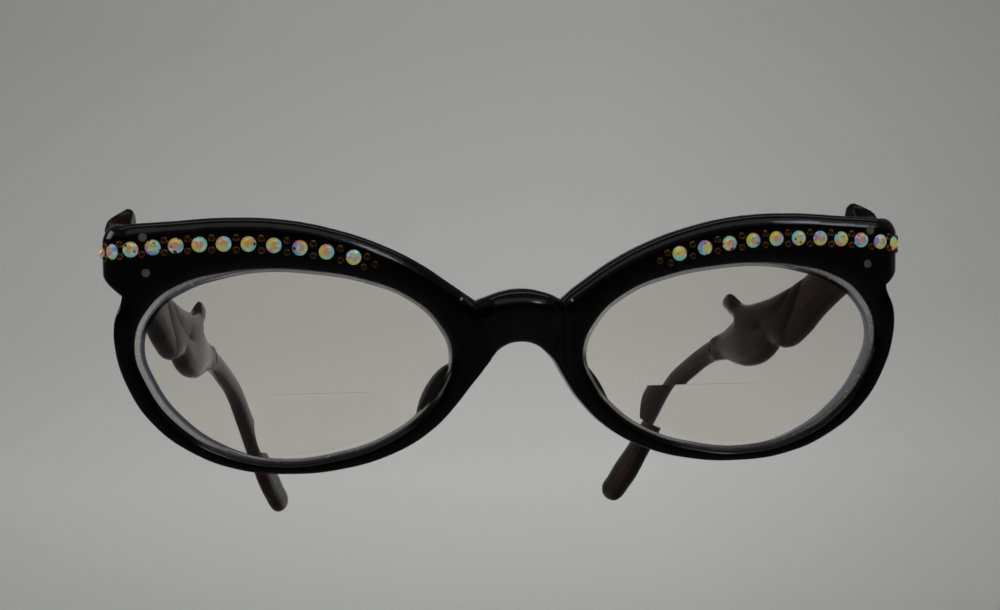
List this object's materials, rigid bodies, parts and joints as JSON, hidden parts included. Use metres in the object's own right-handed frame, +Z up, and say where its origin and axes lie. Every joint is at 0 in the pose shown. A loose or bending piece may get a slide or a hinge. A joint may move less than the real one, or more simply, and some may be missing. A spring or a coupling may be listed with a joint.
{
  "type": "cat eye spectacles",
  "caption": "Cat-eye spectacles in black acetate with a rhinestone brow, lightly tinted bifocal lenses and scalloped wing temples on folding hinges.",
  "frame": {"origin": "centre of the footprint on the plane that the rims' lower edges and the temple tips rest on", "axes": "+X to the wearer's left, +Y backwards from the front to the temple tips, +Z up; the front faces -Y"},
  "size_m": [0.1294, 0.1548, 0.0432],
  "materials": {
    "black_acetate": "polished black acetate",
    "temple_acetate": "polished dark brown-black acetate, slightly translucent",
    "tinted_lens": "clear glass with a light warm tint",
    "aurora_crystal": "faceted crystal with an aurora coating",
    "nickel_silver": "dull nickel silver",
    "core_steel": "drawn steel wire"
  },
  "bodies": {
    "front": {"frame_front": "black_acetate", "lens_left": "tinted_lens", "reading_segment_left": "tinted_lens", "nose_pad_left": "black_acetate", "hinge_front_left": "nickel_silver", "hinge_screw_left": "nickel_silver", "front_rivet_upper_left": "nickel_silver", "front_rivet_lower_left": "nickel_silver", "rhinestone_left_01": "aurora_crystal", "rhinestone_left_02": "aurora_crystal", "rhinestone_left_03": "aurora_crystal", "rhinestone_left_04": "aurora_crystal", "rhinestone_left_05": "aurora_crystal", "rhinestone_left_06": "aurora_crystal", "rhinestone_left_07": "aurora_crystal", "rhinestone_left_08": "aurora_crystal", "rhinestone_left_09": "aurora_crystal", "rhinestone_left_10": "aurora_crystal", "rhinestone_left_11": "aurora_crystal", "rhinestone_left_12": "aurora_crystal", "lens_right": "tinted_lens", "reading_segment_right": "tinted_lens", "nose_pad_right": "black_acetate", "hinge_front_right": "nickel_silver", "hinge_screw_right": "nickel_silver", "front_rivet_upper_right": "nickel_silver", "front_rivet_lower_right": "nickel_silver", "rhinestone_right_01": "aurora_crystal", "rhinestone_right_02": "aurora_crystal", "rhinestone_right_03": "aurora_crystal", "rhinestone_right_04": "aurora_crystal", "rhinestone_right_05": "aurora_crystal", "rhinestone_right_06": "aurora_crystal", "rhinestone_right_07": "aurora_crystal", "rhinestone_right_08": "aurora_crystal", "rhinestone_right_09": "aurora_crystal", "rhinestone_right_10": "aurora_crystal", "rhinestone_right_11": "aurora_crystal", "rhinestone_right_12": "aurora_crystal"},
    "temple_left": {"temple_left": "temple_acetate", "temple_core_wire_left": "core_steel", "hinge_temple_left": "nickel_silver", "temple_rivet_front_left": "nickel_silver", "temple_rivet_rear_left": "nickel_silver"},
    "temple_right": {"temple_right": "temple_acetate", "temple_core_wire_right": "core_steel", "hinge_temple_right": "nickel_silver", "temple_rivet_front_right": "nickel_silver", "temple_rivet_rear_right": "nickel_silver"}
  },
  "joints": [
    {"name": "temple_fold_left", "type": "hinge", "parent": "front", "child": "temple_left", "pos_m": [0.0581, -0.06623, 0.03462], "axis": [0, 0, 1], "range_deg": [-4.4, 69.6]},
    {"name": "temple_fold_right", "type": "hinge", "parent": "front", "child": "temple_right", "pos_m": [-0.0581, -0.06623, 0.03462], "axis": [0, 0, -1], "range_deg": [-13.6, 76.4]}
  ]
}
